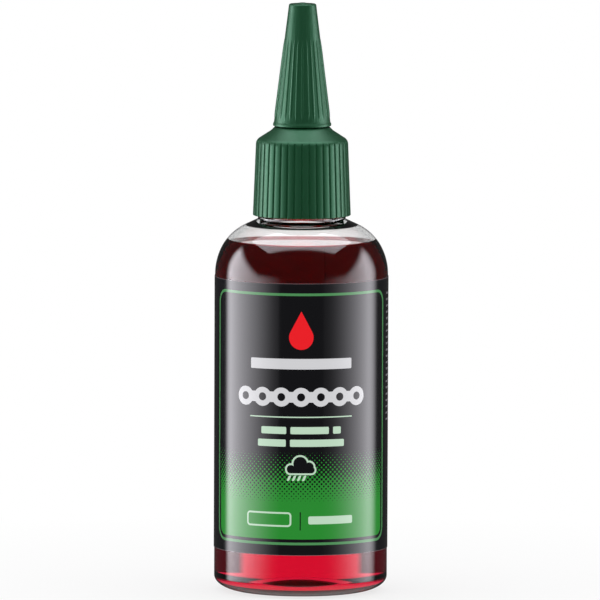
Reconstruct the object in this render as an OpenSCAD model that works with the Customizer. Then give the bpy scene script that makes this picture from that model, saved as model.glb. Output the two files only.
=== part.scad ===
// Drip bottle for chain lubricant, standing on its base.
// The Z axis is the bottle's axis and z = 0 is the ring it stands on. The front is towards -Y.
// All lengths are millimetres and all angles are degrees.

/* [Bottle body] */
// Outside diameter of the straight body
body_d = 41; // [38:0.5:46]
// Height at which the straight wall ends and the shoulder starts
shoulder_z = 75.3; // [60:0.5:90]
// Wall of the blown body
bottle_wall = 0.6; // [0.4:0.1:1]
// Radius of the lower arc of the shoulder
shoulder_low_r = 14; // [11:0.5:18]
// Angle that the lower arc turns through
shoulder_low_a = 25; // [15:0.5:25]
// Radius of the upper arc of the shoulder
shoulder_high_r = 12; // [8:0.2:12]
// Rise of the cone between the shoulder and the neck, from the horizontal
shoulder_cone_a = 25; // [22:1:34]
// Width of the rounded heel, inwards from the wall
heel_w = 7; // [4:0.1:7]
// Height of the rounded heel
heel_h = 3.6; // [2.5:0.1:5]
// Width of the flat ring that the bottle stands on
foot_w = 1.2; // [0.6:0.1:2]
// Depth of the push-up in the middle of the base
push_up = 3.4; // [2:0.2:5]

/* [Neck finish] */
// Diameter of the neck between the turns of its thread
neck_d = 17.5; // [17:0.1:18.2]
// Diameter over the crest of the neck's thread
thread_d = 19.5; // [19:0.1:19.8]
// Bore of the neck
neck_bore_d = 14; // [12:0.5:15]
// Height of the lip above the bead
neck_h = 14.4; // [13.7:0.1:15]
// Rounding of the lip's outer edge
lip_round = 0.4; // [0.1:0.1:0.8]
// Diameter of the bead that the closure stops short of
bead_d = 20.8; // [20.2:0.1:21.6]
// Height of the bead
bead_h = 0.6; // [0.4:0.1:1]

/* [Screw thread] */
// Rise of the thread in one turn
thread_pitch = 3.175; // [2.975:0.05:3.575]
// Turns of thread on the neck
neck_turns = 1.5; // [1:0.25:1.75]
// Turns of thread in the closure
closure_turns = 1.5; // [1:0.25:1.75]
// Height of a thread ridge along the axis, at its foot
ridge_w = 1.85; // [1.5:0.05:1.9]
// Height of a thread ridge along the axis, at its crest
ridge_crest_w = 0.85; // [0.6:0.05:0.95]
// Drop from the lip to the top of the neck's thread
thread_drop = 1.3; // [1:0.1:2]
// Room between a crest and the wall that it faces
thread_clear = 0.3; // [0.2:0.05:0.4]
// Angle by which the closure's thread starts ahead of the neck's
thread_lead = 45; // [0:15:90]

/* [Fill] */
// Height of the liquid's surface above the start of the shoulder
fill_rise = 7.6; // [-30:0.1:8.5]
// Gap between the solid that stands for the liquid and the wall
fill_gap = 0.02; // [0.01:0.01:0.1]

/* [Label] */
// Height of the label's lower edge
label_z = 10.4; // [6:0.1:14]
// Height of the label, edge to edge
label_h = 64.5; // [40:0.1:64.5]
// Thickness of the label with its adhesive
label_t = 0.15; // [0.08:0.01:0.2]
// Length of the lap at the back, where the end is stuck over the start
label_lap = 4; // [2:0.5:8]

/* [Sealing washer] */
// Thickness of the washer between the lip and the closure
washer_t = 1.2; // [0.8:0.1:1.6]
// Hole of the washer
washer_bore_d = 14.6; // [13:0.2:15]
// Gap between the washer's edge and the closure's bore
washer_gap = 0.35; // [0.3:0.05:0.5]

/* [Nozzle closure] */
// Outside diameter at the skirt's lower edge, over the ribs
closure_d = 23.2; // [22.8:0.1:25]
// Height of the skirt up to the rounded corner
skirt_h = 16.9; // [16.6:0.1:19]
// Draft of the skirt
skirt_draft = 2.25; // [1:0.25:3]
// Gap between the bead and the skirt
skirt_gap = 0.3; // [0.3:0.1:1]
// Radius of the corner over the skirt
corner_r = 1.8; // [0.8:0.1:1.8]
// Rise of the closure's conical top, from the horizontal
top_cone_a = 33; // [28:0.2:38]
// Diameter of the flat land round the spout
land_d = 13.1; // [12.8:0.1:15]
// Bevel at the edge of the land
land_bevel = 0.8; // [0.4:0.1:1.2]
// Wall of the conical top
dome_wall = 1.3; // [1:0.1:1.8]
// Inner diameter of the ring that presses the washer
seat_d = 15.2; // [14.6:0.2:16]
// Number of grooves round the skirt
skirt_grooves = 40; // [24:1:48]
// Width of a groove in the skirt
groove_w = 0.5; // [0.3:0.05:0.7]
// Distance that the grooves are cut on above the skirt, so that they run out on the corner
groove_run = 1.2; // [1:0.1:1.6]

/* [Spout] */
// Height of the spout above the land
spout_h = 27.5; // [20:0.5:27.5]
// Diameter of the spout at the land
spout_base_d = 10.9; // [10:0.1:11]
// Diameter of the spout at its tip
spout_tip_d = 4; // [3.6:0.1:4.2]
// Rounding of the spout's tip
spout_round = 0.4; // [0.1:0.1:0.6]
// Wall of the spout where it leaves the land
spout_wall = 1.15; // [0.9:0.05:1.4]
// Diameter of the outlet
outlet_d = 1.2; // [0.8:0.1:1.6]
// Length of the outlet
outlet_h = 2; // [1:0.5:4]

/* [Tip cap] */
// Height of the cap, without the mark of its gate
cap_h = 28.9; // [28.9:0.1:34]
// Diameter of the cap's cone at its lower edge
cap_d = 13.6; // [13.4:0.1:15]
// Diameter of the cap's flat top
cap_tip_d = 6.4; // [6.2:0.1:8]
// Gap between the land and the cap
cap_gap = 0.3; // [0.3:0.1:1]
// Gap between the spout and the cap along the cone
cap_clear = 0.3; // [0.3:0.05:0.5]
// Gap where the cap grips the end of the spout
grip_clear = 0.06; // [0.03:0.01:0.1]
// Length of the grip at the end of the spout
grip_h = 4; // [2:0.5:6]
// Amount that the lower lip stands out
cap_lip = 0.1; // [0.1:0.05:0.5]
// Height of the lower lip
cap_lip_h = 0.9; // [0.5:0.1:1.5]
// Number of ribs round the cap
cap_ribs = 28; // [20:1:32]
// Height of the ribs' lower ends above the cap's edge
rib_low = 1.9; // [1.5:0.1:4]
// Smooth length at the top, above the ribs
rib_high = 8.2; // [4:0.1:14]
// Width of a rib near its lower end
rib_w_low = 0.95; // [0.6:0.05:1.1]
// Width of a rib near its upper end
rib_w_high = 0.6; // [0.3:0.05:0.65]
// Height of a rib over the cone
rib_proud = 0.12; // [0.05:0.01:0.2]
// Diameter of the raised mark that the gate leaves on the top
gate_d = 2.8; // [1:0.2:4]
// Height of that mark
gate_h = 0.3; // [0.1:0.1:0.6]

/* [Hidden] */

$fn = 96;
arc_steps = 10;
thread_steps = 40;
run_out_steps = 4;
run_out_min = 0.1;
ridge_sink = 0.2;
cut = 0.5;
groove_lift = 0.03;
rib_end_r = 0.1;

body_r = body_d / 2;
foot_r = body_r - heel_w;
push_r = foot_r - foot_w;
neck_r = neck_d / 2;
neck_bore_r = neck_bore_d / 2;

// The shoulder is two arcs and a cone. Each arc starts where the one before it ends.
low_c = [body_r - shoulder_low_r, shoulder_z];
high_c = low_c + (shoulder_low_r - shoulder_high_r) * [cos(shoulder_low_a), sin(shoulder_low_a)];
high_a = 90 - shoulder_cone_a;
fill_z = shoulder_z + fill_rise;

// Height of the shoulder's cone at radius r, for a surface that lies inset inside the outer one
function cone_z(r, inset) =
    high_c[1] + (shoulder_high_r - inset) * sin(high_a)
    + (high_c[0] + (shoulder_high_r - inset) * cos(high_a) - r) * tan(shoulder_cone_a);

bead_z = cone_z(bead_d / 2, 0);
bead_top = bead_z + bead_h;
lip_z = bead_top + neck_h;

// The closure hangs from the washer on the lip. Its skirt ends just above the bead.
skirt_z = bead_top + skirt_gap;
seat_z = lip_z + washer_t;
bore_r = thread_d / 2 + thread_clear;
skirt_top_r = closure_d / 2 - skirt_h * tan(skirt_draft);
corner_c = [skirt_top_r, skirt_z + skirt_h] - corner_r * [cos(skirt_draft), sin(skirt_draft)];
corner_end = corner_c + corner_r * [sin(top_cone_a), cos(top_cone_a)];
land_r = land_d / 2;

// Height of the closure's conical top at radius r
function top_z(r) = corner_end[1] + (corner_end[0] - r) * tan(top_cone_a);

land_z = top_z(land_r + land_bevel) + land_bevel;
spout_tip_z = land_z + spout_h;
spout_base_r = spout_base_d / 2;
spout_tip_r = spout_tip_d / 2;

// Radius of the spout's cone at height z
function spout_r(z) = spout_base_r + (spout_tip_r - spout_base_r) * (z - land_z) / spout_h;

cap_z = land_z + cap_gap;
cap_top = cap_z + cap_h;
cap_taper = (cap_d - cap_tip_d) / 2 / cap_h;
cap_a = atan(cap_taper);

// Radius of the cap's cone at height z
function cap_r(z) = cap_d / 2 - (z - cap_z) * cap_taper;

// Each ridge of the closure runs midway between two turns of the neck's.
neck_thread_z = lip_z - thread_drop - ridge_w / 2 - neck_turns * thread_pitch;
closure_thread_z = neck_thread_z - thread_pitch * (1 / 2 + thread_lead / 360);

function arc(c, r, from, to, steps = arc_steps) =
    [for (i = [0:steps]) let (a = from + (to - from) * i / steps) c + r * [cos(a), sin(a)]];

// Heel, wall, shoulder and cone of the body, from the base up to radius top_r
function body_side(inset, top_r) = concat(
    [for (i = [0:arc_steps])
        let (a = -90 + 90 * i / arc_steps)
        [foot_r + (heel_w - inset) * cos(a), heel_h + (heel_h - inset) * sin(a)]],
    arc(low_c, shoulder_low_r - inset, 0, shoulder_low_a),
    arc(high_c, shoulder_high_r - inset, shoulder_low_a + 2, high_a),
    [[top_r, cone_z(top_r, inset)]]
);

// Underside of the base, from the middle out to the standing ring
function base_curve(lift) =
    [for (i = [0:arc_steps])
        let (t = i / arc_steps)
        [push_r * t, lift + push_up * (1 - t * t)]];

// Everything inside the bottle up to the lip, inset from its outer surface
function cavity(inset, top) = concat(
    base_curve(inset),
    body_side(inset, neck_bore_r),
    [[neck_bore_r, top], [0, top]]
);

// One ridge of a right-hand thread. It sinks into its wall and runs out at both ends.
module thread_ridge(wall_r, crest_r, low_z, start_a, turns) {
    steps = round(thread_steps * turns);
    outward = crest_r > wall_r;
    sunk_r = wall_r + (outward ? -ridge_sink : ridge_sink);
    // The four corners of the section are the foot's low and high one, then the crest's high and low one.
    points = [for (i = [0:steps], corner = [0:3])
        let (
            a = start_a + 360 * turns * i / steps,
            z = low_z + thread_pitch * turns * i / steps,
            rise = min(1, (run_out_min + min(i, steps - i)) / run_out_steps),
            at_foot = corner < 2,
            r = at_foot ? sunk_r : wall_r + (crest_r - wall_r) * rise,
            width = at_foot ? ridge_w : ridge_w + (ridge_crest_w - ridge_w) * rise,
            up = corner == 1 || corner == 2 ? 1 : -1
        )
        [r * cos(a), r * sin(a), z + up * width / 2]];
    sides = [for (i = [0:steps - 1], corner = [0:3], second = [false, true])
        let (p = 4 * i + corner, q = 4 * i + (corner + 1) % 4)
        second ? [q, q + 4, p + 4] : [p, q, p + 4]];
    ends = [[0, 3, 2, 1], [for (corner = [0:3]) 4 * steps + corner]];
    polyhedron(points, [for (f = concat(sides, ends)) outward ? [for (k = [len(f) - 1:-1:0]) f[k]] : f]);
}

// Blown bottle: body, shoulder and threaded neck in one piece
module bottle() {
    outer = concat(
        body_side(0, bead_d / 2),
        [[bead_d / 2, bead_top], [neck_r, bead_top]],
        arc([neck_r - lip_round, lip_z - lip_round], lip_round, 0, 90, 4)
    );
    inner = cavity(bottle_wall, lip_z);
    wall = concat(
        base_curve(0),
        outer,
        [for (i = [len(inner) - 2:-1:0]) inner[i]]
    );
    color([0.85, 0.9, 0.9, 0.35]) {
        rotate_extrude() polygon(wall);
        thread_ridge(neck_r, thread_d / 2, neck_thread_z, 0, neck_turns);
    }
}

// The liquid, filling the bottle up to its level
module lubricant() {
    color([0.65, 0.02, 0.08, 0.8])
    intersection() {
        rotate_extrude() polygon(cavity(bottle_wall + fill_gap, lip_z));
        cylinder(h = fill_z, r = body_d);
    }
}

// Printed film wrapped round the body, with its end lapped over its start at the back
module label() {
    lap_a = label_lap / body_r * 180 / PI;
    color([0.08, 0.1, 0.1])
    translate([0, 0, label_z]) {
        rotate_extrude()
            translate([body_r, 0]) square([label_t, label_h]);
        rotate([0, 0, 90 - lap_a / 2])
            rotate_extrude(angle = lap_a)
                translate([body_r + label_t / 2, 0]) square([label_t, label_h]);
    }
}

// Foam washer that the closure presses on the bottle's lip
module sealing_washer() {
    color([0.93, 0.93, 0.9])
    translate([0, 0, lip_z])
    difference() {
        cylinder(h = washer_t, r = bore_r - washer_gap);
        translate([0, 0, -cut]) cylinder(h = washer_t + 2 * cut, d = washer_bore_d);
    }
}

// Groove cutter for the skirt, lying along its drafted side with its axis a little outside
module skirt_groove() {
    translate([closure_d / 2, 0, skirt_z])
    rotate([0, -skirt_draft, 0])
    translate([groove_lift, 0, -cut])
    cylinder(h = skirt_h + groove_run + cut, d = groove_w, $fn = 24);
}

// Screw closure and drip spout in one moulding
module nozzle_closure() {
    seat_r = seat_d / 2;
    shell_drop = dome_wall / cos(top_cone_a);
    spout_bore_r = spout_base_r - spout_wall;
    bore_top = spout_tip_z - outlet_h;
    section = concat(
        [[bore_r, skirt_z], [closure_d / 2, skirt_z]],
        arc(corner_c, corner_r, skirt_draft, 90 - top_cone_a, 6),
        [[land_r + land_bevel, land_z - land_bevel], [land_r, land_z], [spout_base_r, land_z]],
        arc([spout_tip_r - spout_round, spout_tip_z - spout_round], spout_round, 8, 90, 4),
        [[outlet_d / 2, spout_tip_z], [outlet_d / 2, bore_top],
         [spout_bore_r, top_z(spout_bore_r) - shell_drop],
         [seat_r, top_z(seat_r) - shell_drop], [seat_r, seat_z], [bore_r, seat_z]]
    );
    color([0.12, 0.35, 0.22])
    difference() {
        union() {
            rotate_extrude() polygon(section);
            thread_ridge(bore_r, neck_r + thread_clear, closure_thread_z, -thread_lead, closure_turns);
        }
        for (i = [0:skirt_grooves - 1])
            rotate([0, 0, 360 * i / skirt_grooves]) skirt_groove();
    }
}

// Rib of the cap, a slim spindle half sunk in the cone
module cap_rib() {
    length = cap_h - rib_low - rib_high;
    point = 2 * rib_w_low;
    low_depth = rib_w_low / 2 - rib_proud;
    high_depth = rib_w_high / 2 - rib_proud;
    lean = cap_a + atan((high_depth - low_depth) / length);
    translate([cap_r(cap_z + rib_low) - low_depth, 0, cap_z + rib_low])
    rotate([0, -lean, 0])
    rotate_extrude($fn = 24)
        polygon([
            [0, 0], [rib_end_r, 0], [rib_w_low / 2, point],
            [rib_w_high / 2, length - point], [rib_end_r, length], [0, length]
        ]);
}

// Cap pulled on over the spout, closed at its top
module tip_cap() {
    inner_top = spout_tip_z + cap_clear;
    grip_z = spout_tip_z - grip_h;
    edge = 0.4;
    section = [
        [spout_r(cap_z) + cap_clear, cap_z],
        [cap_d / 2 + cap_lip, cap_z],
        [cap_d / 2 + cap_lip, cap_z + cap_lip_h / 2],
        [cap_r(cap_z + cap_lip_h), cap_z + cap_lip_h],
        [cap_r(cap_top - edge), cap_top - edge],
        [cap_tip_d / 2 - edge, cap_top],
        [gate_d / 2, cap_top],
        [gate_d / 4, cap_top + gate_h],
        [0, cap_top + gate_h],
        [0, inner_top],
        [spout_r(spout_tip_z) + grip_clear, inner_top],
        [spout_r(grip_z) + grip_clear, grip_z],
        [spout_r(grip_z - 1) + cap_clear, grip_z - 1]
    ];
    color([0.12, 0.35, 0.22])
    union() {
        rotate_extrude() polygon(section);
        for (i = [0:cap_ribs - 1])
            rotate([0, 0, 360 * i / cap_ribs]) cap_rib();
    }
}

bottle();
lubricant();
label();
sealing_washer();
nozzle_closure();
tip_cap();
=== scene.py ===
# Drip bottle of chain lubricant: a clear blown bottle, its red oil, a wrapped label, a ribbed
# screw closure with a spout, and a ribbed cap that is pulled off the spout.
import math

import bmesh
import bpy
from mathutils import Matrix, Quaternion, Vector


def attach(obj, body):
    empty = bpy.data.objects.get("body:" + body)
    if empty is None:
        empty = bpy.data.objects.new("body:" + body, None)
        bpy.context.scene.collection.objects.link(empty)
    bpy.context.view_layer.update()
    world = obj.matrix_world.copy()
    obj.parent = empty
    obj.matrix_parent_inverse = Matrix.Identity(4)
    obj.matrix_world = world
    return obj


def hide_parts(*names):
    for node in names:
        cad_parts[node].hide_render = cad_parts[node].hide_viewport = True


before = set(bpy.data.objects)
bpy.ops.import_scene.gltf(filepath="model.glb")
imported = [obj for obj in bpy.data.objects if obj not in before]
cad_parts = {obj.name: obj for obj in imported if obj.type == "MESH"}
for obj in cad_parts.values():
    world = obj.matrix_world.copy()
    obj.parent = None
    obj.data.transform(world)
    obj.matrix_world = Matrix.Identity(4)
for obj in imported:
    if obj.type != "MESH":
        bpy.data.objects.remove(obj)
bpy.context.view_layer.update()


# Bottle: one clear polyester piece, blown from a preform into a mould. The preform's moulded neck
# keeps its bead, its screw thread and its thick lip, and the base is pushed up so that the bottle
# stands on a ring. Where oil wets the wall inside, the light bends as it does from wall to oil.
MM = 0.001
BODY_R = 20.5
WALL = 0.6
HEEL = (7.0, 3.6)
FOOT_RING = 1.2
PUSH_UP = 3.4
SHOULDER_Z = 75.3
# The shoulder bends on a wide radius, then on a tighter one, up to these two turns in degrees
SHOULDER_WIDE_R, SHOULDER_TIGHT_R = 14, 12
SHOULDER_TURNS = (25, 65)
BEAD_R, BEAD_TOP = 10.4, 89.012
NECK_R, BORE_R = 8.75, 7.0
ROOT_R, ROOT_SLOPE, ROOT_CORNER = 12.8, 5, 0.8
LIP_Z = 103.412
NECK_THREAD_Z, CREST_R = 96.424, 9.75
THREAD_PITCH, THREAD_TURNS = 3.175, 1.5
THREAD_FOOT, THREAD_CREST, THREAD_SUNK = 1.85, 0.85, 0.3
STEPS_A_TURN, STEPS_TO_RUN_OUT = 72, 8
ROUND_STEPS = 192
SHARP = 32
OIL_Z = 82.85
OIL_RIM_Z = 83.4
PET_IOR = 1.57
OIL_IOR = 1.47


def arc(r, z, reach, start, end, steps, flat=1.0):
    """Points in mm along an arc round (r, z), from start to end degrees."""
    turns = [math.radians(start + (end - start) * i / steps) for i in range(steps + 1)]
    return [(r + reach * math.cos(t), z + reach * flat * math.sin(t)) for t in turns]


def body_outline(inset, top_r):
    """The blown body from its heel to the neck, for a surface that lies inset from the outer one."""
    wide, tall = HEEL[0] - inset, HEEL[1] - inset
    heel = arc(BODY_R - HEEL[0], HEEL[1], wide, -90, 0, 20, tall / wide)
    middle_r, (first, last) = BODY_R - SHOULDER_WIDE_R, SHOULDER_TURNS
    low = arc(middle_r, SHOULDER_Z, SHOULDER_WIDE_R - inset, 0, first, 12)
    # The second arc's middle lies on the line that the first one ends on
    shift_r, shift_z = arc(0, 0, SHOULDER_WIDE_R - SHOULDER_TIGHT_R, first, first, 1)[0]
    middle = (middle_r + shift_r, SHOULDER_Z + shift_z)
    high = arc(*middle, SHOULDER_TIGHT_R - inset, first + 2, last, 19)
    end_r, end_z = high[-1]
    rise = (end_r - top_r) * math.tan(math.radians(90 - last))
    return heel + low + high + [(top_r, end_z + rise)]


def thick_at_neck(outline):
    """The body's inner surface, which ends less steeply than the outer one, so the wall thickens."""
    (end_r, end_z), (top_r, top_z) = outline[-2:]
    root_z = end_z + (top_z - end_z) * (end_r - ROOT_R) / (end_r - top_r)
    bore_z = root_z + (ROOT_R - BORE_R - ROOT_CORNER) * math.tan(math.radians(ROOT_SLOPE))
    bend = arc(BORE_R + ROOT_CORNER, bore_z + ROOT_CORNER, ROOT_CORNER, 270 - ROOT_SLOPE, 180, 8)
    return outline[:-1] + [(ROOT_R, root_z)] + bend


def base_outline(lift):
    """The pushed-up base from the axis out to the ring that the bottle stands on."""
    rim = BODY_R - HEEL[0] - FOOT_RING
    return [(rim * i / 16, lift + PUSH_UP * (1 - (i / 16) ** 2)) for i in range(17)]


def split(outline, z):
    """Cuts a rising outline in two at height z."""
    last = max(i for i, point in enumerate(outline) if point[1] < z)
    (r0, z0), (r1, z1) = outline[last], outline[last + 1]
    cut = (r0 + (r1 - r0) * (z - z0) / (z1 - z0), z)
    return outline[: last + 1] + [cut], [cut] + outline[last + 1 :]


def spun(bm, outline, steps, slot=0):
    """Adds to bm an outline of (radius, height) points in mm, spun round the bottle's axis."""
    there = set(bm.faces)
    points = [bm.verts.new((r * MM, 0, z * MM)) for r, z in outline]
    edges = [bm.edges.new(pair) for pair in zip(points, points[1:])]
    bmesh.ops.spin(
        bm,
        geom=points + edges,
        cent=(0, 0, 0),
        axis=(0, 0, 1),
        angle=math.tau,
        steps=steps,
        use_merge=True,
    )
    for face in set(bm.faces) - there:
        face.material_index = slot


def closed(bm):
    """Merges what was made apart in bm and turns its faces outwards."""
    bmesh.ops.remove_doubles(bm, verts=bm.verts, dist=0.002 * MM)
    bmesh.ops.recalc_face_normals(bm, faces=bm.faces)
    return bm


def thread_ridge(wall_r, crest_r, low_z, start):
    """A bmesh of one ridge of the screw thread, sunk in its wall and running out at both ends."""
    bm = bmesh.new()
    sunk_r = wall_r + math.copysign(THREAD_SUNK, wall_r - crest_r)
    foot, crest = THREAD_FOOT / 2, THREAD_CREST / 2
    section = [(sunk_r, -foot), (wall_r, -foot), (crest_r, -crest)]
    section += [(r, -z) for r, z in reversed(section)]
    turn = math.radians(start)
    ring = [
        bm.verts.new(Vector((r * math.cos(turn), r * math.sin(turn), low_z + z)) * MM)
        for r, z in section
    ]
    edges = [bm.edges.new((ring[i - 1], ring[i])) for i in range(len(ring))]
    steps = round(STEPS_A_TURN * THREAD_TURNS)
    bmesh.ops.spin(
        bm,
        geom=ring + edges,
        cent=(0, 0, 0),
        axis=(0, 0, 1),
        dvec=(0, 0, THREAD_PITCH / STEPS_A_TURN * MM),
        angle=math.tau * THREAD_TURNS,
        steps=steps,
    )
    for number, vert in enumerate(bm.verts):
        step, corner = divmod(number, len(section))
        rise = min(1, (0.3 + min(step, steps - step)) / STEPS_TO_RUN_OUT)
        if corner in (2, 3):
            middle = low_z + THREAD_PITCH * step / STEPS_A_TURN
            r = wall_r + (crest_r - wall_r) * rise
            half = foot + (crest - foot) * rise
            vert.co.xy = vert.co.xy.normalized() * r * MM
            vert.co.z = (middle + half * (1 if corner == 3 else -1)) * MM
    bmesh.ops.holes_fill(bm, edges=bm.edges, sides=len(section))
    return closed(bm)


def moulded_together(bm, ridge):
    """The two closed shapes as one: the ridge is part of the same moulding."""
    made = []
    for name, shape in (("body", bm), ("ridge", ridge)):
        mesh = bpy.data.meshes.new(name)
        shape.to_mesh(mesh)
        shape.free()
        made.append(bpy.data.objects.new(name, mesh))
        bpy.context.collection.objects.link(made[-1])
    union = made[0].modifiers.new("Union", "BOOLEAN")
    union.operation = "UNION"
    union.solver = "EXACT"
    union.object = made[1]
    whole = bmesh.new()
    whole.from_object(made[0], bpy.context.evaluated_depsgraph_get())
    for obj in made:
        mesh = obj.data
        bpy.data.objects.remove(obj)
        bpy.data.meshes.remove(mesh)
    bmesh.ops.remove_doubles(whole, verts=whole.verts, dist=0.0015 * MM)
    bmesh.ops.dissolve_degenerate(whole, edges=whole.edges, dist=0.001 * MM)
    return whole


def finished(name, bm, materials):
    """The piece of that name, smooth but for edges that turn by more than SHARP degrees."""
    for face in bm.faces:
        face.smooth = True
    for edge in bm.edges:
        edge.smooth = edge.calc_face_angle(0) < math.radians(SHARP)
    mesh = bpy.data.meshes.new(name)
    bm.to_mesh(mesh)
    bm.free()
    for material in materials:
        mesh.materials.append(material)
    piece = bpy.data.objects.new(name, mesh)
    bpy.context.collection.objects.link(piece)
    return piece


def shaded(name, **values):
    """A material with those values on its Principled shader's sockets."""
    material = bpy.data.materials.new(name)
    material.use_nodes = True
    shader = material.node_tree.nodes["Principled BSDF"]
    for socket, value in values.items():
        shader.inputs[socket.replace("_", " ")].default_value = value
    return material


def add(owner, kind, *inputs, out=0, **settings):
    """Adds a node to a material, lamp or world and gives one output. Inputs are sockets or values."""
    tree = owner.node_tree
    node = tree.nodes.new("ShaderNode" + kind)
    for name, value in settings.items():
        setattr(node, name, value)
    for socket, value in zip(node.inputs, inputs):
        if isinstance(value, bpy.types.NodeSocket):
            tree.links.new(value, socket)
        elif value is not None:
            socket.default_value = value
    return node.outputs[out]


def worked(owner, operation, *values):
    """A Math node's output on a material, lamp or world."""
    return add(owner, "Math", *values, operation=operation)


def feed(material, name, source):
    """Links a node's output to a socket of the material's Principled shader."""
    shader = material.node_tree.nodes["Principled BSDF"]
    material.node_tree.links.new(source, shader.inputs[name])


def uneven(material, size, low, high, depth):
    """Roughness between low and high and a faint bump, both in patches of about size mm."""
    place = add(material, "TexCoord", out="Object")
    patches = add(material, "TexNoise", place, None, 1 / (size * MM), 3.0, 0.5)
    feed(material, "Roughness", add(material, "MapRange", patches, 0.3, 0.7, low, high))
    bump = add(material, "Bump", 1.0, depth * MM).node
    material.node_tree.links.new(patches, bump.inputs["Height"])
    feed(material, "Normal", bump.outputs[0])


pet = shaded(
    "clear_polyester",
    Base_Color=(0.985, 0.99, 0.99, 1),
    IOR=PET_IOR,
    Transmission_Weight=1,
)
uneven(pet, 14, 0.015, 0.05, 0.012)
wet_pet = shaded(
    "oil_wet_polyester",
    Base_Color=(1, 1, 1, 1),
    Roughness=0.0,
    IOR=PET_IOR / OIL_IOR,
    Transmission_Weight=1,
)

inside = base_outline(WALL) + thick_at_neck(body_outline(WALL, BORE_R))
wet, dry = split(inside, OIL_RIM_Z)
outer_skin = (
    base_outline(0)
    + body_outline(0, BEAD_R)
    + [(BEAD_R, BEAD_TOP - 0.15), (BEAD_R - 0.15, BEAD_TOP), (NECK_R + 0.2, BEAD_TOP)]
    + [(NECK_R, BEAD_TOP + 0.2)]
    + arc(NECK_R - 0.4, LIP_Z - 0.4, 0.4, 0, 90, 6)
    + [(BORE_R + 0.2, LIP_Z), (BORE_R, LIP_Z - 0.2)]
    + dry[::-1]
)
blown = bmesh.new()
spun(blown, outer_skin, ROUND_STEPS)
spun(blown, wet, ROUND_STEPS, slot=1)
neck_ridge = thread_ridge(NECK_R, CREST_R, NECK_THREAD_Z, 0)
bottle = finished("clear_bottle", moulded_together(closed(blown), neck_ridge), [pet, wet_pet])
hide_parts("bottle")
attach(bottle, "bottle_body")


# Oil: dyed red and clear, about 100 ml. It fills the body to just above the start of the shoulder
# and creeps a little way up the wall. Its skin against the wall bends no light, because the wet
# wall has done that, and only its free surface does.
CREEP = 0.8
SKIN_GAP = 0.02
# How fast the oil takes out red, green and blue, for each metre of the light's way
RED_TAKEN = (8.0, 145.0, 92.0)

oil = shaded(
    "dyed_oil",
    Base_Color=(1, 1, 1, 1),
    Roughness=0.0,
    IOR=OIL_IOR,
    Transmission_Weight=1,
)
top = oil.node_tree.nodes["Principled BSDF"]
skin = add(oil, "BsdfPrincipled").node
for name in ("Base Color", "Roughness", "Transmission Weight"):
    skin.inputs[name].default_value = top.inputs[name].default_value
skin.inputs["IOR"].default_value = 1.0
free = add(oil, "Attribute", out="Fac", attribute_name="free_surface")
both = add(oil, "MixShader", free, skin.outputs[0], top.outputs[0])
ends = oil.node_tree.nodes["Material Output"]
oil.node_tree.links.new(both, ends.inputs["Surface"])
densest = max(RED_TAKEN)
taken = add(
    oil, "VolumeAbsorption", (*[1 - rate / densest for rate in RED_TAKEN], 1), densest
)
oil.node_tree.links.new(taken, ends.inputs["Volume"])

inset = WALL + SKIN_GAP
against_wall = split(base_outline(inset) + body_outline(inset, BORE_R), OIL_RIM_Z)[0]
rim_r = against_wall[-1][0]
surface = [
    (rim_r - CREEP * t, OIL_Z + (OIL_RIM_Z - OIL_Z) * (1 - t) ** 2.5)
    for t in [i / 10 for i in range(11)]
] + [(0, OIL_Z)]
fill = bmesh.new()
spun(fill, against_wall, ROUND_STEPS, slot=0)
spun(fill, surface, ROUND_STEPS, slot=1)
closed(fill)
free_surface = fill.faces.layers.float.new("free_surface")
for face in fill.faces:
    face[free_surface] = face.material_index
    face.material_index = 0
oil_fill = finished("oil", fill, [oil])
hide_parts("lubricant")
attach(oil_fill, "bottle_body")


# Label: a glossy printed film, cut as one strip, wrapped round the straight wall and lapped over
# its own start at the back. The print is black with a green frame and field, a screen of dots
# between them, and plain marks. It reads the place round the bottle and the height, both in mm.
LABEL_LOW, LABEL_HIGH = 10.4, 74.9
FILM_T = 0.11
FILM_R = BODY_R + 0.005
LAP, RAMP = 4.0, 3.0
STRIP_CUTS = 255
FRAME_HALF_W, FRAME_LOW, FRAME_HIGH = 25.1, 12.9, 72.6
FRAME_LINE, FRAME_GAP = 0.62, 0.75
FRAME_CORNER = 3.4
SCREEN = (1.1, 1.14)
SCREEN_LOW, SCREEN_HIGH = 22.6, 35.0
BLACK_INK = (0.0055, 0.0055, 0.0068, 1)
GREEN_INK = (0.022, 0.27, 0.030, 1)
LINE_INK = (0.075, 0.28, 0.095, 1)
PALE_GREEN_INK = (0.54, 0.74, 0.56, 1)
WHITE_INK = (0.68, 0.68, 0.70, 1)
RED_INK = (0.90, 0.010, 0.017, 1)
SMALL_PRINT_INK = (0.2, 0.2, 0.21, 1)
BARE_EDGE = (0.16, 0.12, 0.13, 1)

film = shaded("printed_film", Roughness=0.13, IOR=1.5)
film_back = shaded("film_back", Base_Color=(0.45, 0.45, 0.45, 1), Roughness=0.4)


def calc(operation, *values):
    """A Math node's output on the label's film."""
    return add(film, "Math", *values, operation=operation)


def both_ways(operation, *values, out=0):
    """A Vector Math node's output on the label's film."""
    return add(film, "VectorMath", *values, operation=operation, out=out)


place_x, place_y, place_z = add(
    film, "SeparateXYZ", add(film, "TexCoord", out="Object")
).node.outputs
from_front = calc("ARCTAN2", place_x, calc("MULTIPLY", place_y, -1.0))
around = calc("MULTIPLY", from_front, FILM_R + FILM_T)
height = calc("MULTIPLY", place_z, 1 / MM)
print_place = add(film, "CombineXYZ", around, height)


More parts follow.
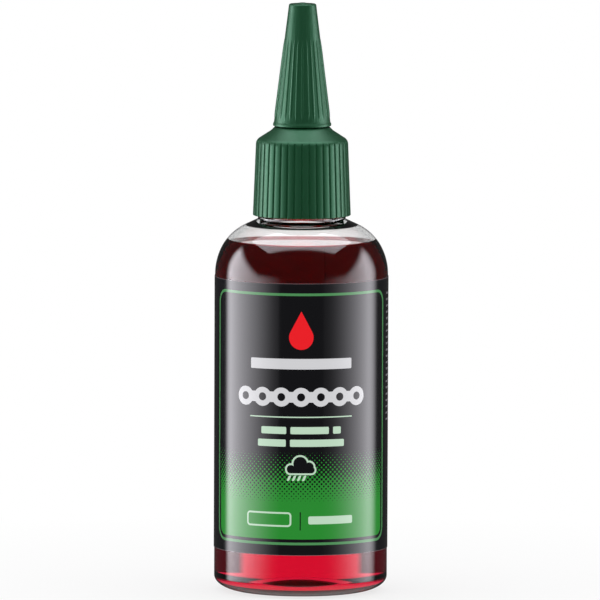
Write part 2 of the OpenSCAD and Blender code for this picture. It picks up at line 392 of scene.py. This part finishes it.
def mark(x, z, half_w, half_h, corner, at=None):
    """Distance in mm outside a bar with round corners, centred at x round the bottle and height z."""
    off = both_ways("SUBTRACT", at or print_place, (x, z, 0))
    past = both_ways(
        "SUBTRACT", both_ways("ABSOLUTE", off), (half_w - corner, half_h - corner, 0)
    )
    # Past the straight parts only, so that the corners come out round
    beyond = both_ways("MAXIMUM", past, (0, 0, 0))
    return calc("SUBTRACT", both_ways("LENGTH", beyond, out="Value"), corner)


def together(*distances):
    """Distance outside the nearest of several marks."""
    joined = distances[0]
    for distance in distances[1:]:
        joined = calc("MINIMUM", joined, distance)
    return joined


def cut_by(distance, hole):
    """Distance outside a mark that a second one is cut out of."""
    return calc("MAXIMUM", distance, calc("MULTIPLY", hole, -1.0))


def printed(under, ink, distance):
    """The colour under, with ink laid over it inside a mark."""
    over = calc("LESS_THAN", distance, 0.0)
    # A Mix node's sockets for colours come after those for numbers and vectors
    return add(film, "Mix", over, *[None] * 5, under, ink, data_type="RGBA", out=2)


def repeated(x, spacing, along=around):
    """The place round the bottle, starting again every spacing mm, with a repeat centred on x."""
    moved = calc("ADD", calc("SUBTRACT", along, x), spacing / 2)
    local = calc("SUBTRACT", calc("FLOORED_MODULO", moved, spacing), spacing / 2)
    return add(film, "CombineXYZ", local, height)


frame_z = (FRAME_LOW + FRAME_HIGH) / 2
frame_half_h = (FRAME_HIGH - FRAME_LOW) / 2
frame_outside = mark(0, frame_z, FRAME_HALF_W, frame_half_h, FRAME_CORNER)
frame_mark = cut_by(frame_outside, calc("ADD", frame_outside, FRAME_LINE))
field = calc("ADD", frame_outside, FRAME_LINE + FRAME_GAP)

# The screen's dots grow downwards until they join and leave dots of black between them.
wave_x = calc("COSINE", calc("MULTIPLY", around, math.tau / SCREEN[0]))
wave_z = calc("COSINE", calc("MULTIPLY", height, math.tau / SCREEN[1]))
covered = add(film, "MapRange", height, SCREEN_HIGH, SCREEN_LOW, 1.0, -1.02)
dots = calc("SUBTRACT", covered, calc("MULTIPLY", wave_x, wave_z))
art = printed(BLACK_INK, GREEN_INK, calc("MAXIMUM", field, dots))
art = printed(art, LINE_INK, frame_mark)

# A drop: a ball and the two straight sides that meet above it
ball_z, ball_r, tip_z = 62.15, 2.9, 68.35
lean = math.asin(ball_r / (tip_z - ball_z))
side = calc(
    "SUBTRACT",
    calc("ABSOLUTE", around),
    calc("MULTIPLY", calc("SUBTRACT", tip_z, height), math.tan(lean)),
)
above = calc("SUBTRACT", ball_z + ball_r * math.sin(lean), height)
drop = together(mark(0, ball_z, ball_r, ball_r, ball_r), calc("MAXIMUM", side, above))
art = printed(art, RED_INK, drop)

# A plain bar, and a run of chain links under it
PIN_SPACING, LINKS_Z = 4.72, 48.0
EYE_R, HOLE_R, PLATE_HALF_H = 2.25, 0.95, 1.25
link_place = repeated(0, PIN_SPACING)
eyes = mark(0, LINKS_Z, EYE_R, EYE_R, EYE_R, at=link_place)
plates = mark(0, LINKS_Z, 3 * PIN_SPACING, PLATE_HALF_H, 0.1)
chain = cut_by(together(eyes, plates), mark(0, LINKS_Z, HOLE_R, HOLE_R, HOLE_R, at=link_place))
chain = calc("MAXIMUM", chain, mark(0, LINKS_Z, 3 * PIN_SPACING + EYE_R, 4, 0.1))
art = printed(art, WHITE_INK, together(mark(0, 55.85, 12.6, 1.25, 0.3), chain))

# A rule and two lines of plain bars: the place round the bottle, the height and half the length
BARS = ((-6.6, 40.1, 3.1), (2.1, 40.1, 4.6), (8.75, 40.1, 1.0), (-7.1, 37.1, 3.5), (4.0, 37.1, 6.6))
rule = mark(0, 43.25, 12.8, 0.14, 0.05)
bars = [mark(x, z, half_l, 0.85, 0.3) for x, z, half_l in BARS]
art = printed(art, PALE_GREEN_INK, together(rule, *bars))

# A cloud, which is a long puff and three round ones, with slanted rain under it
PUFFS = ((-0.15, 32.25, 2.05), (1.95, 31.5, 1.5), (-2.35, 30.95, 1.4))
MARK_LINE = 0.42
RAIN_Z, RAIN_SPACING, RAIN_LEAN = 28.8, 1.2, 0.45
puffs = [mark(x, z, r, r, r) for x, z, r in PUFFS]
cloud = together(mark(0, 30.75, 3.7, 1.2, 1.2), *puffs)
cloud_line = cut_by(cloud, calc("ADD", cloud, MARK_LINE))
fallen = calc("MULTIPLY", calc("SUBTRACT", height, RAIN_Z), -RAIN_LEAN)
streaks = repeated(-0.4, RAIN_SPACING, calc("ADD", around, fallen))
rain = calc(
    "MAXIMUM",
    mark(0, RAIN_Z, 0.3, 0.65, 0.28, at=streaks),
    mark(-1.0, RAIN_Z, 2.3, 1.0, 0.1),
)
art = printed(art, BLACK_INK, cloud)
art = printed(art, PALE_GREEN_INK, together(cloud_line, rain))

# Lower marks: an outlined bar, a thin divider and a plain bar
outlined = mark(-7.9, 18.95, 5.7, 1.75, 0.9)
art = printed(art, PALE_GREEN_INK, cut_by(outlined, calc("ADD", outlined, MARK_LINE)))
art = printed(art, BLACK_INK, mark(-0.1, 18.6, 0.13, 2.15, 0.05))
art = printed(art, PALE_GREEN_INK, mark(7.4, 18.8, 5.6, 0.95, 0.4))

# The side panel's small print, as plain lines of uneven length
ROW_H, ROW_HALF_LINE, ROWS_END, RAGGED = 1.5, 0.24, 51.0, 2.2
row = calc("FLOORED_MODULO", height, ROW_H)
row_number = calc("SUBTRACT", height, row)
ragged = calc("MULTIPLY", calc("SINE", calc("MULTIPLY", row_number, 1.9)), RAGGED)
line_end = calc("SUBTRACT", calc("SUBTRACT", around, ROWS_END), ragged)
off_line = calc("ABSOLUTE", calc("SUBTRACT", row, ROW_H / 2))
lines = calc("MAXIMUM", line_end, calc("SUBTRACT", off_line, ROW_HALF_LINE))
small_print = calc("MAXIMUM", lines, mark(42.0, 55.9, 14.5, 15.8, 0.1))
art = printed(art, SMALL_PRINT_INK, small_print)

# The cut edges of the film are bare
from_middle = calc("ABSOLUTE", calc("SUBTRACT", height, (LABEL_LOW + LABEL_HIGH) / 2))
edge_off = calc("SUBTRACT", from_middle, (LABEL_HIGH - LABEL_LOW) / 2 - 0.1)
art = printed(art, BARE_EDGE, calc("MULTIPLY", edge_off, -1.0))

feed(film, "Base Color", art)

strip_l = math.tau * BODY_R + LAP
wrap = bmesh.new()
bmesh.ops.create_cube(wrap, size=1)
lengthwise = [e for e in wrap.edges if abs(e.verts[0].co.x - e.verts[1].co.x) > 0.5]
bmesh.ops.subdivide_edges(wrap, edges=lengthwise, cuts=STRIP_CUTS, use_grid_fill=True)
start = math.radians(90) - LAP / BODY_R / 2
for vert in wrap.verts:
    along = (vert.co.x + 0.5) * strip_l
    lifted = min(1, max(0, (along - (strip_l - LAP - RAMP)) / RAMP))
    r = FILM_R + FILM_T * (vert.co.y + 0.5) + (FILM_T + 0.005) * lifted
    turn = start + along / BODY_R
    z = LABEL_LOW + (vert.co.z + 0.5) * (LABEL_HIGH - LABEL_LOW)
    vert.co = Vector((r * math.cos(turn), r * math.sin(turn), z)) * MM
# Wrapped this way round, the strip has turned inside out
bmesh.ops.reverse_faces(wrap, faces=wrap.faces)
wrap.normal_update()
# The film's back, which shows through the oil, has no print
for face in wrap.faces:
    outwards = face.calc_center_median().xy.normalized()
    face.material_index = int(face.normal.xy.dot(outwards) < -0.5)
label = finished("printed_label", wrap, [film, film_back])
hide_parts("label")
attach(label, "bottle_body")


# Sealing washer: a ring punched from white foam sheet, pressed between the lip and the closure.
WASHER_T, WASHER_EDGE = 1.2, 0.12
WASHER_BORE_R, WASHER_R = 7.3, 9.7

foam = shaded("white_foam", Base_Color=(0.84, 0.84, 0.81, 1))
uneven(foam, 0.35, 0.75, 0.95, 0.06)
ring = bmesh.new()
spun(
    ring,
    [
        (WASHER_BORE_R, LIP_Z + WASHER_EDGE),
        (WASHER_BORE_R, LIP_Z + WASHER_T - WASHER_EDGE),
        (WASHER_BORE_R + WASHER_EDGE, LIP_Z + WASHER_T),
        (WASHER_R - WASHER_EDGE, LIP_Z + WASHER_T),
        (WASHER_R, LIP_Z + WASHER_T - WASHER_EDGE),
        (WASHER_R, LIP_Z + WASHER_EDGE),
        (WASHER_R - WASHER_EDGE, LIP_Z),
        (WASHER_BORE_R + WASHER_EDGE, LIP_Z),
        (WASHER_BORE_R, LIP_Z + WASHER_EDGE),
    ],
    96,
)
washer = finished("sealing_washer_ring", closed(ring), [foam])
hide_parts("sealing_washer")
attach(washer, "washer_body")


# Screw closure: one moulding of green polypropylene, with a grooved skirt for the fingers, a
# conical top, a thread inside and the long drip spout that the cap covers.
SKIRT_Z, SKIRT_R = 89.312, 11.6
SKIRT_TOP_Z = SKIRT_Z + 16.9
SKIRT_DRAFT = 2.25
CORNER_R = 1.8
TOP_SLOPE = 33
LAND_R, LAND_BEVEL = 6.55, 0.8
SEAT_R, SEAT_Z = 7.6, 104.612
CLOSURE_BORE_R, CLOSURE_THREAD_Z, CLOSURE_THREAD_START = 10.05, 94.44, -45
DOME_WALL = 1.3
SPOUT_H, SPOUT_R, SPOUT_TIP_R = 27.5, 5.45, 2.0
SPOUT_BORE_R, OUTLET_R, OUTLET_H = 4.3, 0.6, 2.0
GROOVES, GROOVE_DEPTH = 40, 0.27
# Half a groove and half a rib: the place across in mm, and the share of the depth there
GROOVE_SECTION = [(0.0, 1.0), (0.11, 0.86), (0.19, 0.5), (0.25, 0.09), (0.33, 0.0)]

green = shaded(
    "green_polypropylene",
    Base_Color=(0.003, 0.050, 0.015, 1),
    IOR=1.49,
    Specular_IOR_Level=0.7,
    Specular_Tint=(0.42, 1.0, 0.66, 1),
)
uneven(green, 0.5, 0.36, 0.48, 0.004)

draft, slope = math.radians(SKIRT_DRAFT), math.radians(TOP_SLOPE)
skirt_top_r = SKIRT_R - (SKIRT_TOP_Z - SKIRT_Z) * math.tan(draft)
corner = (skirt_top_r - CORNER_R * math.cos(draft), SKIRT_TOP_Z - CORNER_R * math.sin(draft))
corner_arc = arc(*corner, CORNER_R, SKIRT_DRAFT, 90 - TOP_SLOPE, 14)


def dome_z(r):
    """Height of the closure's conical top at radius r."""
    return corner_arc[-1][1] + (corner_arc[-1][0] - r) * math.tan(slope)


land_z = dome_z(LAND_R + LAND_BEVEL) + LAND_BEVEL
spout_top_z = land_z + SPOUT_H
inner_drop = DOME_WALL / math.cos(slope)
skirt_rings = [0, 0.12, 0.3, 4, 8, 12, 16]
closure_outline = (
    [(CLOSURE_BORE_R, SKIRT_Z + 0.1), (CLOSURE_BORE_R + 0.1, SKIRT_Z)]
    + [(SKIRT_R - 0.12, SKIRT_Z)]
    + [(SKIRT_R - up * math.tan(draft), SKIRT_Z + up) for up in skirt_rings[1:]]
    + corner_arc
    + [(LAND_R + LAND_BEVEL, land_z - LAND_BEVEL), (LAND_R, land_z)]
    + [(SPOUT_R + 0.25, land_z), (SPOUT_R, land_z + 0.25)]
    + arc(SPOUT_TIP_R - 0.4, spout_top_z - 0.4, 0.4, 8, 90, 6)
    + [(OUTLET_R, spout_top_z), (OUTLET_R, spout_top_z - OUTLET_H)]
    + [(SPOUT_BORE_R, dome_z(SPOUT_BORE_R) - inner_drop)]
    + [(SEAT_R, dome_z(SEAT_R) - inner_drop), (SEAT_R, SEAT_Z)]
    + [(CLOSURE_BORE_R, SEAT_Z), (CLOSURE_BORE_R, SKIRT_Z + 0.1)]
)
moulding = bmesh.new()
spun(moulding, closure_outline, GROOVES * 2 * len(GROOVE_SECTION))
closed(moulding)


def across(vert, count, columns):
    """How many columns a vert lies from the middle of its groove or rib, and that middle's turn."""
    turn = math.atan2(vert.co.y, vert.co.x)
    pitch = math.tau / count
    middle = round(turn / pitch) * pitch
    return round((turn - middle) / pitch * 2 * columns), middle


for vert in moulding.verts:
    up = vert.co.z / MM - SKIRT_Z
    r = vert.co.xy.length / MM
    side_r = SKIRT_R - up * math.tan(draft)
    if r > side_r - 0.6:
        column, middle = across(vert, GROOVES, len(GROOVE_SECTION))
        if abs(column) < len(GROOVE_SECTION):
            place, depth = GROOVE_SECTION[abs(column)]
            turn = middle + math.copysign(place / r, column)
            # The cut keeps to the skirt's slope, so it runs out where the corner turns in
            r = min(r, side_r - GROOVE_DEPTH * depth)
            vert.co.x, vert.co.y = r * MM * math.cos(turn), r * MM * math.sin(turn)
closure_ridge = thread_ridge(
    CLOSURE_BORE_R, NECK_R + 0.3, CLOSURE_THREAD_Z, CLOSURE_THREAD_START
)
closure = finished("screw_closure", moulded_together(moulding, closure_ridge), [green])
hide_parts("nozzle_closure")
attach(closure, "closure_body")


# Tip cap: a hollow cone of the same green polypropylene, closed at the top, with slim pointed ribs
# for the fingers and a small mark where the plastic came in. It grips the end of the spout.
CAP_H, CAP_R, CAP_TIP_R = 28.9, 6.8, 3.2
CAP_Z = land_z + 0.3
CAP_TOP_Z = CAP_Z + CAP_H
CAP_LIP = 0.1
GATE_R, GATE_H = 1.4, 0.3
RIBS, RIB_PROUD = 28, 0.13
RIB_LOW_Z, RIB_HIGH_Z = CAP_Z + 1.9, CAP_TOP_Z - 8.2
# Half a rib's width and the length of its point, at the low end and the high one
RIB_HALF_W = (0.34, 0.25)
RIB_POINT = (1.4, 2.4)
RIB_COLUMNS, RIB_EDGE = 6, 3


def cap_r(z):
    """Radius of the cap's cone at height z."""
    return CAP_R - (z - CAP_Z) * (CAP_R - CAP_TIP_R) / CAP_H


def spout_r(z):
    """Radius of the spout's cone at height z."""
    return SPOUT_R + (SPOUT_TIP_R - SPOUT_R) * (z - land_z) / SPOUT_H


rib_l = RIB_HIGH_Z - RIB_LOW_Z
near_end = [0, 0.06, 0.2, 0.45, 0.8, 1.3, 1.9, 2.6]
rib_rings = near_end + [rib_l * i / 8 for i in range(2, 7)] + [rib_l - up for up in near_end[::-1]]
grip_z = spout_top_z - 4
cap_outline = (
    [(spout_r(CAP_Z) + 0.3, CAP_Z), (CAP_R + CAP_LIP - 0.1, CAP_Z), (CAP_R + CAP_LIP, CAP_Z + 0.1)]
    + [(CAP_R + CAP_LIP, CAP_Z + 0.4), (CAP_R + CAP_LIP - 0.03, CAP_Z + 0.55)]
    + [(cap_r(CAP_Z + 0.8) + 0.03, CAP_Z + 0.8), (cap_r(CAP_Z + 1), CAP_Z + 1)]
    + [(cap_r(RIB_LOW_Z + up), RIB_LOW_Z + up) for up in rib_rings]
    + arc(CAP_TIP_R - 0.35, CAP_TOP_Z - 0.35, 0.4, 7, 90, 6)
    + [(GATE_R, CAP_TOP_Z + 0.05), (GATE_R - 0.2, CAP_TOP_Z + 0.2), (GATE_R / 2, CAP_TOP_Z + GATE_H)]
    + [(0, CAP_TOP_Z + GATE_H)]
)
cap_inside = [
    (0, spout_top_z + 0.3),
    (spout_r(spout_top_z) + 0.06, spout_top_z + 0.3),
    (spout_r(grip_z) + 0.06, grip_z),
    (spout_r(grip_z - 1) + 0.3, grip_z - 1),
    (spout_r(CAP_Z) + 0.3, CAP_Z),
]
cone = bmesh.new()
spun(cone, cap_outline, RIBS * 2 * RIB_COLUMNS)
spun(cone, cap_inside, RIBS * 2 * RIB_COLUMNS)
closed(cone)
for vert in cone.verts:
    z, r = vert.co.z / MM, vert.co.xy.length / MM
    if RIB_LOW_Z - 0.01 < z < RIB_HIGH_Z + 0.01 and r > cap_r(z) - 0.05:
        column, middle = across(vert, RIBS, RIB_COLUMNS)
        share = (z - RIB_LOW_Z) / rib_l
        taper = min((z - RIB_LOW_Z) / RIB_POINT[0], (RIB_HIGH_Z - z) / RIB_POINT[1], 1)
        taper = max(taper, 0.0) ** 0.6
        half = (RIB_HALF_W[0] + (RIB_HALF_W[1] - RIB_HALF_W[0]) * share) * max(taper, 0.1)
        pitch_half = math.pi * r / RIBS
        off_middle = abs(column) / RIB_EDGE
        if off_middle <= 1:
            place = half * off_middle
            r += RIB_PROUD * taper * (1 - off_middle**2)
        else:
            place = half + (pitch_half - half) * (off_middle - 1) ** 1.3
        turn = middle + math.copysign(place, column) / cap_r(z)
        vert.co.x, vert.co.y = r * MM * math.cos(turn), r * MM * math.sin(turn)
cap = finished("pull_cap", cone, [green])
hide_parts("tip_cap")
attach(cap, "cap_body")


# Floor: a plain white table top. Only the camera sees it, with the bottle's shadow near it. The
# reflections pass through it, as on a sheet of glass.
SHADOW_NEAR, SHADOW_FAR = 0.02, 0.16
SHADOW_WHITENED = 0.75

floor_finish = shaded("white_table", Base_Color=(0.86, 0.86, 0.86, 1), Roughness=0.8)
place = add(floor_finish, "TexCoord", out="Object")
from_bottle = add(floor_finish, "VectorMath", place, operation="LENGTH", out="Value")
whitened = add(
    floor_finish, "MapRange", from_bottle, SHADOW_NEAR, SHADOW_FAR, SHADOW_WHITENED, 1.0
)
plain = floor_finish.node_tree.nodes["Principled BSDF"].outputs[0]
bright = add(floor_finish, "Emission", (1, 1, 1, 1), 1.0)
lit = add(floor_finish, "MixShader", whitened, plain, bright)
see_through = add(floor_finish, "BsdfTransparent", (1, 1, 1, 1))
camera_ray = add(floor_finish, "LightPath", out="Is Camera Ray")
floor_out = add(floor_finish, "MixShader", camera_ray, see_through, lit)
floor_finish.node_tree.links.new(
    floor_out, floor_finish.node_tree.nodes["Material Output"].inputs["Surface"]
)
table = bmesh.new()
bmesh.ops.create_circle(table, cap_ends=True, radius=6, segments=64)
floor = finished("table_top", table, [floor_finish])


# Studio light: a white panel stands on each side, brightest a little behind the bottle, where it is
# also taller, and a soft panel hangs above. They show only as reflections, and the soft light of
# the room does the rest.
PANEL_OUT = 0.3
PANEL_NEAR, PANEL_FAR = -0.533, 0.165
PANEL_LOW, PANEL_HIGH = -0.14, 0.34
PANEL_TOP, PANEL_RISES = 0.08, 0.42
TOP_FADE, LOW_FADE = (0.05, -0.03), (-0.12, 0.01)
OVERHEAD_UP, OVERHEAD_W = 0.75, 1.2
OVERHEAD_NEAR, OVERHEAD_FAR = -0.45, 0.3
OVERHEAD_SHINE, OVERHEAD_FADE = 3.05, 0.2
LAMP_COLOUR = (0.96, 0.94, 1.0)
# White backdrop: degrees to each side where it begins and stops fading, and how fast it widens
BACKDROP_ENDS, BACKDROP_WIDENS = (28, 33), 3.6
ROOM_SOFT, ROOM_IN_GLOSS, SEEN_THROUGH, TABLE_SEEN = 0.95, 0.05, 0.09, 0.65


def lamp(name, place, aim, wide, tall, radiance):
    """A rectangular area lamp facing along aim, and the place on it, 0 to 1 across and up."""
    light = bpy.data.lights.new(name, "AREA")
    light.shape = "RECTANGLE"
    light.size, light.size_y = wide, tall
    light.energy = 4 * wide * tall * radiance
    light.color = LAMP_COLOUR
    light.use_nodes = True
    obj = bpy.data.objects.new(name, light)
    obj.location = place
    obj.rotation_mode = "QUATERNION"
    obj.rotation_quaternion = Vector(aim).to_track_quat("-Z", "Y")
    obj.visible_diffuse = False
    obj.visible_transmission = False
    bpy.context.collection.objects.link(obj)
    parametric = add(light, "NewGeometry", out="Parametric")
    return light, add(light, "SeparateXYZ", parametric).node.outputs


def eased(light, value, start, end, least=0.0):
    """From least to 1 as value goes from start to end, softly at both ends."""
    return add(
        light, "MapRange", value, start, end, least, 1.0, interpolation_type="SMOOTHSTEP"
    )


def shine(light, glow):
    """Gives a lamp its glow, as a share of its radiance."""
    light.node_tree.links.new(glow, light.node_tree.nodes["Emission"].inputs["Strength"])


for side_name, way, radiance, nearest, fall, full in (
    ("left", -1, 6.4, 0.22, 2.1, 0.87),
    ("right", 1, 6.1, 0.35, 3.9, 0.80),
):
    panel, on_panel = lamp(
        side_name + "_panel",
        (way * PANEL_OUT, (PANEL_NEAR + PANEL_FAR) / 2, (PANEL_LOW + PANEL_HIGH) / 2),
        (-way, 0, 0),
        PANEL_FAR - PANEL_NEAR,
        PANEL_HIGH - PANEL_LOW,
        radiance,
    )
    along = on_panel[0] if way > 0 else worked(panel, "SUBTRACT", 1.0, on_panel[0])
    up = worked(panel, "MULTIPLY_ADD", on_panel[1], PANEL_HIGH - PANEL_LOW, PANEL_LOW)
    taller = worked(panel, "MAXIMUM", worked(panel, "SUBTRACT", along, 0.5), 0.0)
    top = worked(panel, "MULTIPLY_ADD", taller, PANEL_RISES, PANEL_TOP)
    glow = worked(panel, "POWER", eased(panel, along, 0.0, 1.0, nearest), fall)
    glow = worked(panel, "MULTIPLY", glow, eased(panel, along, 1.0, full))
    over_top = worked(panel, "SUBTRACT", up, top)
    glow = worked(panel, "MULTIPLY", glow, eased(panel, over_top, *TOP_FADE))
    shine(panel, worked(panel, "MULTIPLY", glow, eased(panel, up, *LOW_FADE)))

overhead, on_overhead = lamp(
    "overhead",
    (0, (OVERHEAD_NEAR + OVERHEAD_FAR) / 2, OVERHEAD_UP),
    (0, 0, -1),
    OVERHEAD_W,
    OVERHEAD_FAR - OVERHEAD_NEAR,
    OVERHEAD_SHINE,
)
shine(overhead, eased(overhead, on_overhead[1], 0.0, OVERHEAD_FADE))

surround = bpy.data.worlds.new("surround")
surround.use_nodes = True


def ray(kind):
    """What the surround's Light Path node says about the ray that meets it."""
    return add(surround, "LightPath", out=kind)


looked = add(surround, "SeparateXYZ", add(surround, "TexCoord", out="Generated")).node.outputs
# Turn away from straight behind the bottle, from 0 to half a circle
turned = worked(surround, "ABSOLUTE", worked(surround, "ARCTAN2", looked[0], looked[1]))
# The white backdrop widens upwards
risen = worked(surround, "MAXIMUM", looked[2], 0.0)
outside = worked(surround, "MULTIPLY_ADD", risen, -BACKDROP_WIDENS, turned)
ends_at = [math.radians(turn) for turn in BACKDROP_ENDS]
backdrop = add(surround, "MapRange", outside, *ends_at, 1.0, SEEN_THROUGH)
through = worked(surround, "MULTIPLY", backdrop, ray("Is Transmission Ray"))
levels = [
    worked(surround, "MAXIMUM", ray("Is Camera Ray"), through),
    add(surround, "MapRange", ray("Is Glossy Ray"), 0.0, 1.0, ROOM_SOFT, ROOM_IN_GLOSS),
    # The soft light of the room also gets in through the clear wall to what lies behind it
    add(surround, "MapRange", ray("Diffuse Depth"), 0.0, 1.0, 0.0, ROOM_SOFT),
    # White table under the bottle, as its rounded heel shows it
    add(surround, "MapRange", looked[2], -0.3, -0.7, 0.0, TABLE_SEEN),
]
level = levels[0]
for other in levels[1:]:
    level = worked(surround, "MAXIMUM", level, other)
background = surround.node_tree.nodes["Background"].inputs
surround.node_tree.links.new(level, background["Strength"])
background["Color"].default_value = (1, 1, 1, 1)
bpy.context.scene.world = surround


# Camera: a long lens 3.5 m away and a little above, as the photograph was taken.
CAMERA_AIM = Vector((-0.00035, 0, 0.06905))
CAMERA_AWAY = 3.5
CAMERA_ABOVE = 5.6
CAMERA_ROLL = 0.22
CAMERA_LENS = 886
BOUNCES, DIFFUSE_BOUNCES = 40, 6

camera_data = bpy.data.cameras.new("camera")
camera_data.sensor_width = 36
camera_data.lens = CAMERA_LENS
camera_data.clip_end = 50
camera = bpy.data.objects.new("camera", camera_data)
above = math.radians(CAMERA_ABOVE)
back_to = Vector((0, -math.cos(above), math.sin(above)))
camera.location = CAMERA_AIM + back_to * CAMERA_AWAY
camera.rotation_mode = "QUATERNION"
roll = Quaternion((0, 0, 1), math.radians(CAMERA_ROLL))
camera.rotation_quaternion = (-back_to).to_track_quat("-Z", "Y") @ roll
bpy.context.collection.objects.link(camera)
scene = bpy.context.scene
scene.camera = camera
scene.view_settings.view_transform = "Standard"
# Light crosses many walls on its way through the bottle
scene.cycles.max_bounces = scene.cycles.transmission_bounces = BOUNCES
scene.cycles.diffuse_bounces = DIFFUSE_BOUNCES
